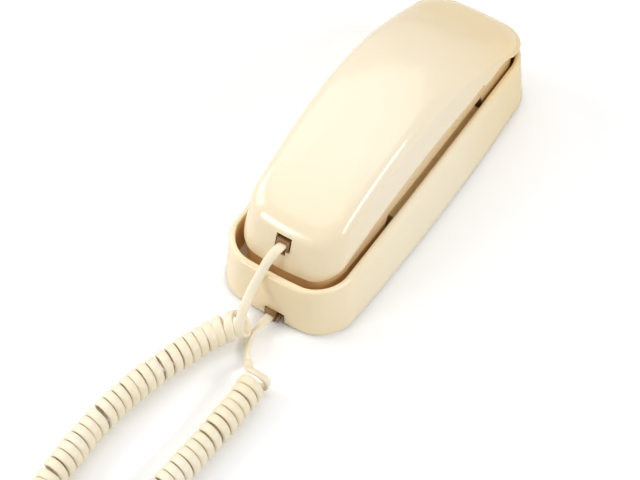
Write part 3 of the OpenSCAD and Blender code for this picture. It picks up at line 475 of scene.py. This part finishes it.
def flat_tube(name, points, flats, width, thickness, material, sides=14):
    """A tube of flattened section; flats are the directions its flat side faces."""
    rings = []
    for i, p in enumerate(points):
        tangent = (points[min(i + 1, len(points) - 1)] - points[max(i - 1, 0)]).normalized()
        wide = tangent.cross(flats[i]).normalized()
        thin = wide.cross(tangent)
        ring = []
        for k in range(sides):
            a = 2 * math.pi * k / sides
            c, s = math.cos(a), math.sin(a)
            x = sign(c) * abs(c) ** 0.75 * width / 2
            y = sign(s) * abs(s) ** 0.75 * thickness / 2
            ring.append(tuple(p + wide * x + thin * y))
        rings.append(ring)
    vertices, faces = loft(rings, tuple(points[0]), tuple(points[-1]))
    return new_piece(name, vertices, faces, material, None)


def turned(keys, count):
    """Directions that turn through the given (share, direction) pairs."""
    out = []
    for i in range(count):
        share = i / (count - 1)
        (low, a), (high, b) = next(pair for pair in zip(keys, keys[1:]) if share <= pair[1][0])
        out.append(a.lerp(b, (share - low) / (high - low)).normalized())
    return out


def add_cord():
    """One flat cord from plug to plug: a straight lead, the curls and a second lead."""
    radius = (COIL_D - CORD_T) / 2
    coil_points, coil_out = winding(smooth_line(COIL, 2), radius)
    # Each lead runs on into its end of the helix.
    lead = smooth_line(HANDSET_LEAD + coil_points[1:3], 1.2)[:-4]
    tail = smooth_line(coil_points[-3:-1] + BASE_LEAD[-3::-1], 1.2)[4:]
    points = lead + coil_points[2:-2] + tail
    lead_flat = turned([(0, Vector((0, -0.75, 0.65))), (1, coil_out[2])], len(lead))
    leaning = Vector((-0.85, -0.2, 0.55))
    tail_flat = turned([(0, coil_out[-3]), (0.25, leaning), (0.7, leaning),
                        (1, Vector((0.1, 0, 1)))], len(tail))
    cord = flat_tube("curly_cord", points, lead_flat + coil_out[2:-2] + tail_flat,
                     CORD_W, CORD_T, M["cord"])
    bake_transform(cord)
    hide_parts("cord_lead_handset", "cord_lead_base", "cord_coil")


add_cord()


# ---------------------------------------------------------------- base shell

RIM_Z, FOOT_Z = 36.2, 1.8
SKIRT_Z = FOOT_Z + 6  # underside of the part that the skirt hangs from
PLATFORM, PLATFORM_Z, NEAR_FLOOR, FAR_FLOOR = (-38, 52), 33, 14, 11
SKIRT_T, FOOT_R = 3.2, 0.7
WALL_R, RIM_T, INNER_R = 2.3, 3.5, 0.8


def base_plan(w, l, r, side, end, inset=0):
    points = plan(w - 2 * inset, inset - l / 2, l / 2 - inset, r - inset, r - inset)
    return [bow(p, w, -l / 2, l / 2, side, end) for p in points]


def casing_plan(z, inset=0):
    """The casing's outline at a height: it narrows from foot to rim."""
    f = (z - FOOT_Z) / (RIM_Z - FOOT_Z)
    return base_plan(76 - 3 * f, 213 - 3 * f, 18 + 2 * f, 4 - 3.3 * f, 2 + f, inset)


def rim_plan(inset):
    return base_plan(73, 210, 20, 0.7, 3, inset)


STEP_W = 0.6


def floor_z(y):
    """Height of the base's inside floor, with steep steps at both ends of the platform."""
    def step(x):
        t = min(1, max(0, x / STEP_W + 0.5))
        return t * t * (3 - 2 * t)
    near = NEAR_FLOOR + (PLATFORM_Z - NEAR_FLOOR) * step(y - PLATFORM[0])
    return near + (FAR_FLOOR - PLATFORM_Z) * step(y - PLATFORM[1])


def side_steps(points):
    """Adds points close to the platform's two ends, so that its steps stay steep."""
    out = []
    for a, b in zip(points, points[1:] + points[:1]):
        out.append(a)
        if abs(a[0]) > 30 and abs(b[0]) > 30:
            low, high = sorted((a[1], b[1]))
            marks = [m + d for m in PLATFORM for d in (-0.7, -0.3, 0, 0.3, 0.7)
                     if low < m + d < high]
            for m in (marks if b[1] > a[1] else marks[::-1]):
                t = (m - a[1]) / (b[1] - a[1])
                out.append((a[0] + (b[0] - a[0]) * t, m))
    return out


def open_underside(piece, height):
    """Takes away the flat faces at a height, which would hide what lies inside."""
    work = bmesh.new()
    work.from_mesh(piece.data)
    flat = [f for f in work.faces if all(abs(v.co.z - height * MM) < 0.01 * MM for v in f.verts)]
    bmesh.ops.delete(work, geom=flat, context="FACES_ONLY")
    work.to_mesh(piece.data)
    work.free()


def add_base():
    rings = []

    def ring(points, z):
        rings.append([(p[0], p[1], z(p[1]) if callable(z) else z) for p in side_steps(points)])

    # From inside the skirt round the foot, and up the outside.
    ring(casing_plan(SKIRT_Z, SKIRT_T), SKIRT_Z)
    ring(casing_plan(FOOT_Z, SKIRT_T), FOOT_Z)
    for a in (0, 30, 60, 90):
        t = math.radians(a)
        ring(casing_plan(FOOT_Z, FOOT_R * (1 - math.sin(t))),
             FOOT_Z + FOOT_R * (1 - math.cos(t)))
    top = RIM_Z - WALL_R
    for k in range(1, 9):
        z = FOOT_Z + FOOT_R + (top - FOOT_Z - FOOT_R) * k / 8
        ring(casing_plan(z), z)
    # Over the rim and down inside.
    for a in range(10, 91, 10):
        t = math.radians(a)
        ring(casing_plan(RIM_Z, WALL_R * (1 - math.cos(t)) * 0.8), top + WALL_R * math.sin(t))
    for a in (0, 30, 60, 90):
        t = math.radians(a)
        ring(rim_plan(RIM_T - INNER_R * (1 - math.sin(t))),
             RIM_Z - INNER_R * (1 - math.cos(t)))
    inside = len(rings) - 1
    for k in (0.35, 0.7):
        ring(rim_plan(RIM_T),
             lambda y, k=k: RIM_Z - INNER_R + (floor_z(y) + INNER_R - RIM_Z + INNER_R) * k)
    for a in (0, 45, 90):
        t = math.radians(a)
        ring(rim_plan(RIM_T + INNER_R * (1 - math.cos(t))),
             lambda y, t=t: floor_z(y) + INNER_R * (1 - math.sin(t)))
    n = len(rings[0])
    vertices, faces = loft(rings)
    # The floor: rows across, from one side's point to the other's.
    last = (len(rings) - 1) * n
    ring_xy = rings[-1]
    middle = CORNER + ACROSS // 2
    columns = 8
    rows = []
    for k in range(n // 2 + 1):
        left, right = (middle + k) % n, (middle - k) % n
        row = [last + left]
        if left != right:
            for c in range(1, columns):
                t = c / columns
                x = ring_xy[left][0] + (ring_xy[right][0] - ring_xy[left][0]) * t
                y = ring_xy[left][1] + (ring_xy[right][1] - ring_xy[left][1]) * t
                vertices.append((x, y, floor_z(y)))
                row.append(len(vertices) - 1)
            row.append(last + right)
        rows.append(row)
    for a, b in zip(rows, rows[1:]):
        if len(a) == 1:
            faces += [(a[0], b[c], b[c + 1]) for c in range(columns)]
        elif len(b) == 1:
            faces += [(a[c + 1], a[c], b[0]) for c in range(columns)]
        else:
            faces += [(a[c + 1], a[c], b[c], b[c + 1]) for c in range(columns)]
    # The underside closes the solid while it is cut.
    faces.append(tuple(range(n - 1, -1, -1)))
    base = new_piece("base_shell", vertices, faces, M["base"], "base")
    # From the rim's inside edge down, the faces take the orange of painted bounce light and shade.
    base.data.materials.append(M["inside_painted_bounce"])
    for face in base.data.polygons[inside * n:-1]:
        face.material_index = 1
    cutters = [soft_box("cut_notch", (-3.3, -112, -3), (9.1, -98, 9), 1.2, M["base"]),
               soft_box("cut_slide", (-46, -4.3, 12.5), (-33, 8.3, 16.5), 0.6, M["base"])]
    hole = lathe("cut_plunger", (0, 43, 25), [(4.2, 0), (4.2, 12)], M["base"], None)
    cut(base, "base_shell", cutters + [hole])
    open_underside(base, SKIRT_Z)
    crisp(base, 35)
    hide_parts("base_casing")


add_base()


# ---------------------------------------------------------------- handset shells

HS_LEN, HS_NEAR, HS_BOW = 203.5, -96, 3
HS_W_NEAR, HS_W_MID, HS_W_FAR = 60.6, 65.6, 68
HS_R_NEAR, HS_R_FAR = 14.5, 18
PART_NEAR, PART_MID, PART_FAR = 35.1, 51.8, 37.8  # heights of the seam between the shells
END_TILT = 14  # degrees by which the near end leans back
HS_FAR, HS_MID = HS_NEAR + HS_LEN, HS_NEAR + HS_LEN / 2
SHOULDER_W, SHOULDER_H, CROWN, DRAFT, WALL = 9.5, 7.5, 2.5, 1.5, 2.4
LIP = 74  # degrees of shoulder before the crown takes over
JACK_X, JACK_Z = -0.5, 50.2
SCOOP_Y, SCOOP_R, SEAM_SLOT = 66, 40, (42, 54)
EDGE_CUT_X = 26.8  # where the cuts in the right-hand edge begin
PROFILE = [(HS_MID + s * HS_LEN, z) for s, z in (
    (-0.58, 52), (-0.47, 61), (-0.41, 65), (-0.33, 70), (-0.215, 75.6), (-0.053, 78.8),
    (0.12, 74.8), (0.26, 65), (0.395, 52), (0.4975, 42.5), (0.61, 34))]


def sweep(y, a, b, c):
    """A value that goes through a at the near end, b in the middle and c at the far end."""
    u = (y - HS_NEAR) / HS_LEN
    return a * 2 * (u - 0.5) * (u - 1) - b * 4 * u * (u - 1) + c * 2 * u * (u - 0.5)


def part_z(y):
    return sweep(min(max(y, HS_NEAR - HS_BOW), HS_FAR + HS_BOW), PART_NEAR, PART_MID, PART_FAR)


def hs_half(y):
    return sweep(min(max(y, HS_NEAR), HS_FAR), HS_W_NEAR, HS_W_MID, HS_W_FAR) / 2


def profile_z(y):
    """Height of the handset's back along its middle, on a smooth curve through PROFILE."""
    i = 1
    while i < len(PROFILE) - 3 and y >= PROFILE[i + 1][0]:
        i += 1
    p, q, r, s = PROFILE[i - 1:i + 3]
    h = r[0] - q[0]
    t = (y - q[0]) / h
    mq = (r[1] - p[1]) / (r[0] - p[0]) * h
    mr = (s[1] - q[1]) / (s[0] - q[0]) * h
    return (q[1] * (1 + 2 * t) * (1 - t) ** 2 + mq * t * (1 - t) ** 2
            + r[1] * t * t * (3 - 2 * t) + mr * t * t * (t - 1))


def hs_plan(inset):
    """The handset's outline from above, drawn in by an inset."""
    out = []
    for p in plan(HS_W_MID, HS_NEAR, HS_FAR, HS_R_NEAR, HS_R_FAR):
        b = bow(p, HS_W_MID, HS_NEAR, HS_FAR, 0, HS_BOW)
        out.append((b[0] * hs_half(b[1]) / (HS_W_MID / 2) * (1 - 2 * inset / HS_W_MID),
                    HS_MID + (b[1] - HS_MID) * (1 - 2 * inset / HS_LEN)))
    return out


def lean(y, h):
    """How far a wall's point moves along y at a height h over the seam."""
    u = (y - HS_NEAR) / HS_LEN
    return (h * math.tan(math.radians(END_TILT)) * (1 - min(1, max(0, u / 0.35)))
            - 0.1 * h * min(1, max(0, (u - 0.65) / 0.35)))


def back_point(p, f, s, drop):
    """A point of the back shell: f goes up its wall, s over its shoulder, drop below its skin."""
    base = part_z(p[1])
    y = p[1] + lean(p[1], (profile_z(p[1]) - base) * (0.7 * f + 0.3 * s))
    low = max(profile_z(y) - drop - SHOULDER_H, base + 0.3)
    top = max(profile_z(y) - drop, low + 0.2)
    return (p[0], y, base + (low - base) * f + (top - low) * s)


def wall_ring(f, inset, drop):
    return [back_point(p, f, 0, drop) for p in hs_plan(inset + DRAFT * f)]


def shoulder_ring(degrees, inset, drop):
    a = math.radians(degrees)
    return [back_point(p, 1, math.sin(a), drop)
            for p in hs_plan(inset + DRAFT + SHOULDER_W * (1 - math.cos(a)))]


def crown_rings(inset, drop, shares):
    """Rings over the top of the back shell, from its shoulder to its middle."""
    edge = shoulder_ring(LIP, inset, drop)
    rings = []
    for f in shares:
        ring = []
        for p in edge:
            y = HS_MID + (p[1] - HS_MID) * (1 - f)
            start = p[2] - profile_z(p[1])
            ring.append((p[0] * (1 - f), y,
                         profile_z(y) + start + (CROWN - drop - start) * (1 - (1 - f) ** 2)))
        rings.append(ring)
    return rings


def parting(inset, dz):
    return [(p[0], p[1], part_z(p[1]) + dz) for p in hs_plan(inset)]


def jack_frame():
    """Middle of the cord opening in the handset's near end, tilted as that end is."""
    y = HS_NEAR - HS_BOW + math.tan(math.radians(END_TILT)) * (JACK_Z - PART_NEAR) + 0.2
    return (Matrix.Translation(Vector((JACK_X, y, JACK_Z)) * MM)
            @ Matrix.Rotation(math.radians(-END_TILT), 4, "X"))


def add_handset_back():
    crown = [0.04, 0.1, 0.18, 0.27, 0.37, 0.47, 0.57, 0.67, 0.77, 0.87, 0.96]
    # From the middle inside, round the edge at the seam, to the middle outside.
    rings = crown_rings(WALL, WALL, [0.2, 0.5, 0.8, 0.96])[::-1]
    rings += [shoulder_ring(a, WALL, WALL) for a in (LIP, 50, 25, 0)]
    rings += [wall_ring(f, WALL, WALL) for f in (0.6, 0.2)]
    rings += [parting(WALL, 0), parting(0.45, 0), parting(0.1, 0)]
    rings += [wall_ring(f, 0, 0) for f in (0.03, 0.2, 0.4, 0.6, 0.8, 0.93)]
    rings += [shoulder_ring(a, 0, 0) for a in (0, 9, 18, 27, 36, 45, 54, 63, 70, LIP)]
    rings += crown_rings(0, 0, crown)
    vertices, faces = loft(rings, (0, HS_MID, profile_z(HS_MID) + CROWN - WALL),
                           (0, HS_MID, profile_z(HS_MID) + CROWN))
    shell = new_piece("handset_back", vertices, faces, M["shell"], "handset")
    opening = soft_box("cut_jack", (-4.7, -8, -4.8), (4.7, 5, 4.8), 0.4, M["shell"])
    latch = soft_box("cut_latch", (-2.2, -8, -7.4), (2.2, 5, 0), 0.4, M["shell"])
    opening.matrix_world = latch.matrix_world = jack_frame()
    scoop = lathe("cut_scoop", (0, 0, 0), [(SCOOP_R, 0), (SCOOP_R, 20)], M["shell"], None, 160)
    scoop_z = part_z(SCOOP_Y) + 1.3 - SCOOP_R
    scoop.matrix_world = (Matrix.Translation(Vector((EDGE_CUT_X, SCOOP_Y, scoop_z)) * MM)
                          @ Matrix.Rotation(math.radians(90), 4, "Y"))
    near, far = SEAM_SLOT
    slot = soft_box("cut_seam", (EDGE_CUT_X, near, part_z(far) - 3),
                    (EDGE_CUT_X + 12, far, part_z(near) + 0.8), 0.3, M["shell"])
    cut(shell, "handset_back", [opening, latch, slot, scoop])
    crisp(shell, 34)
    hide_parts("handset_back_shell")


add_handset_back()


# ---------------------------------------------------------------- materials of the CAD nodes

SHARP = math.radians(32)  # faces that meet at more than this have an edge between them


def dress(name, material, bevel):
    """Gives a CAD node its material and small rounded edges; a bevel of 0 leaves them sharp."""
    piece = nodes[name]
    piece.data.materials.clear()
    piece.data.materials.append(material)
    piece.data.polygons.foreach_set("use_smooth", [True] * len(piece.data.polygons))
    if piece.data.has_custom_normals:
        with bpy.context.temp_override(object=piece, active_object=piece):
            bpy.ops.mesh.customdata_custom_splitnormals_clear()
    weld = piece.modifiers.new("weld", "WELD")
    weld.merge_threshold = 0.00002
    if bevel:
        edge = piece.modifiers.new("edge", "BEVEL")
        edge.width = bevel * MM
        edge.segments = 2
        edge.limit_method = "ANGLE"
        edge.angle_limit = SHARP
        edge.use_clamp_overlap = True
        normals = piece.modifiers.new("normals", "WEIGHTED_NORMAL")
        normals.keep_sharp = True
    else:
        corners = piece.modifiers.new("corners", "EDGE_SPLIT")
        corners.split_angle = SHARP


DRESS = {
    "handset_front_shell": ("front", 0), "bottom_plate": ("plate", 0),
    "rubber_feet": ("rubber", 0.35), "base_screws": ("steel", 0.12),
    "base_board": ("board", 0.1), "base_board_parts": ("black", 0.2),
    "board_spacers": ("plate", 0.15), "ringer_holder": ("black", 0.2),
    "ringer_disc": ("brass", 0.05), "base_weight": ("steel", 0.5), "hook_switch": ("black", 0.2),
    "hook_plunger": ("key", 0.3), "hook_spring": ("steel", 0), "ringer_switch": ("steel", 0.2),
    "ringer_slide": ("black", 0.3), "base_jack": ("smoke", 0.15),
    "base_jack_contacts": ("gold", 0.03), "line_jack": ("black", 0.25),
    "line_jack_contacts": ("gold", 0.05), "handset_screws": ("steel", 0.12),
    "handset_weight": ("steel", 0.4), "handset_board": ("board", 0.1),
    "handset_board_parts": ("black", 0.2), "keypad_mat": ("silicone", 0.2),
    "receiver": ("black", 0.4), "receiver_gasket": ("rubber", 0.15),
    "microphone": ("steel", 0.3), "microphone_boot": ("rubber", 0.3),
    "volume_switch": ("steel", 0.2), "volume_slide": ("black", 0.3),
    "handset_jack": ("smoke", 0.15), "handset_jack_contacts": ("gold", 0.03),
    "handset_plug": ("plug", 0.15), "base_plug": ("plug", 0.15),
    "plug_contacts_handset": ("gold", 0.03), "plug_contacts_base": ("gold", 0.03),
}
for name, (material, bevel) in DRESS.items():
    dress(name, M[material], bevel)
KEYS = ["1", "2", "3", "4", "5", "6", "7", "8", "9", "star", "0", "pound",
        "flash", "redial", "mute"]
MARKS = {"star": "*", "pound": "#"}
for key in KEYS:
    dress("key_" + key, M["key"], 0.5)


def mark_key(key, character, height):
    """A printed character on a key's face, which looks down while the handset lies in the base."""
    curve = bpy.data.curves.new("mark_" + key, "FONT")
    curve.body = character
    curve.size = height * MM
    curve.extrude = 0.06 * MM
    curve.align_x = curve.align_y = "CENTER"
    text = bpy.data.objects.new("mark_text", curve)
    scene.collection.objects.link(text)
    bpy.context.view_layer.update()
    shown = text.evaluated_get(bpy.context.evaluated_depsgraph_get())
    mesh = bpy.data.meshes.new_from_object(shown)
    bpy.data.objects.remove(text)
    low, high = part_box("key_" + key)
    xs, ys = [v.co.x for v in mesh.vertices], [v.co.y for v in mesh.vertices]
    middle = Vector(((min(xs) + max(xs)) / 2, (min(ys) + max(ys)) / 2, 0))
    face = Vector(((low.x + high.x) / 2, (low.y + high.y) / 2, low.z))
    mesh.transform(Matrix.Translation(face)
                   @ Matrix.Rotation(math.pi, 4, "Y") @ Matrix.Translation(-middle))
    mesh.materials.clear()
    mesh.materials.append(M["ink"])
    mark = bpy.data.objects.new("mark_" + key, mesh)
    scene.collection.objects.link(mark)
    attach(mark, "key_" + key)


NUMBER_KEYS = KEYS[:12]
for key in NUMBER_KEYS:
    mark_key(key, MARKS.get(key, key), 6 if key == "star" else 5)


# ---------------------------------------------------------------- light

def area_light(name, place, aim, width, height, energy):
    """A softbox: a bright rectangle at a place, turned to what it lights."""
    data = bpy.data.lights.new(name, "AREA")
    data.energy = energy
    data.shape = "RECTANGLE"
    data.size, data.size_y = width, height
    light = bpy.data.objects.new(name, data)
    light.location = place
    light.rotation_euler = (Vector(aim) - light.location).to_track_quat("-Z", "Y").to_euler()
    scene.collection.objects.link(light)


def add_floor():
    material, tree, shader = node_material("table_white")
    cloud = noise(tree, 3, 2)
    # Seen directly the table is white; what it throws back on the phone is its real colour.
    mix = add_node(tree, "ShaderNodeMix", data_type="RGBA")
    path = tree.nodes.new("ShaderNodeLightPath")
    tree.links.new(path.outputs["Is Camera Ray"], mix.inputs["Factor"])
    tree.links.new(ramp(tree, cloud, [(0.3, (0.85, 0.855, 0.865)), (0.7, (0.87, 0.875, 0.885))]),
                   mix.inputs["A"])
    tree.links.new(ramp(tree, cloud, [(0.3, (1.04, 1.045, 1.055)), (0.7, (1.055, 1.06, 1.07))]),
                   mix.inputs["B"])
    tree.links.new(mix.outputs["Result"], shader.inputs["Base Color"])
    shader.inputs["Roughness"].default_value = 0.9
    shader.inputs["Specular IOR Level"].default_value = 0.1
    half, below = 4000, -0.05
    floor = new_piece("table", [(-half, -half, below), (half, -half, below),
                                (half, half, below), (-half, half, below)],
                      [(0, 1, 2, 3)], material, None, smooth=False)


def add_world():
    world = bpy.data.worlds.new("studio")
    scene.world = world
    world.use_nodes = True
    tree = world.node_tree
    background = tree.nodes["Background"]
    background.inputs["Color"].default_value = (0.97, 0.985, 1, 1)
    # White where it is seen or mirrored, dimmer as a light.
    path = tree.nodes.new("ShaderNodeLightPath")
    seen = path.outputs["Is Camera Ray"]
    for ray in ("Is Glossy Ray", "Is Transmission Ray"):
        either = add_node(tree, "ShaderNodeMath", operation="MAXIMUM")
        tree.links.new(seen, either.inputs[0])
        tree.links.new(path.outputs[ray], either.inputs[1])
        seen = either.outputs[0]
    strength = add_node(tree, "ShaderNodeMapRange", {"To Min": 0.31, "To Max": 1.0})
    tree.links.new(seen, strength.inputs["Value"])
    tree.links.new(strength.outputs["Result"], background.inputs["Strength"])


add_floor()
add_world()
area_light("overhead", (-0.5, 0.5, 1.5), (0, 0, 0), 1.8, 1.8, 12.2)
area_light("left_key", (-1.0, -0.3, 0.6), (0, 0, 0), 0.7, 0.5, 5.5)
area_light("right_streak", (0.95, 0.0, 0.75), (0, 0, 0.05), 0.9, 0.3, 7)
area_light("near_fill", (-0.62, -1.3, 0.5), (0, -0.1, 0.02), 0.5, 0.35, 5)
scene.view_settings.view_transform = "Standard"
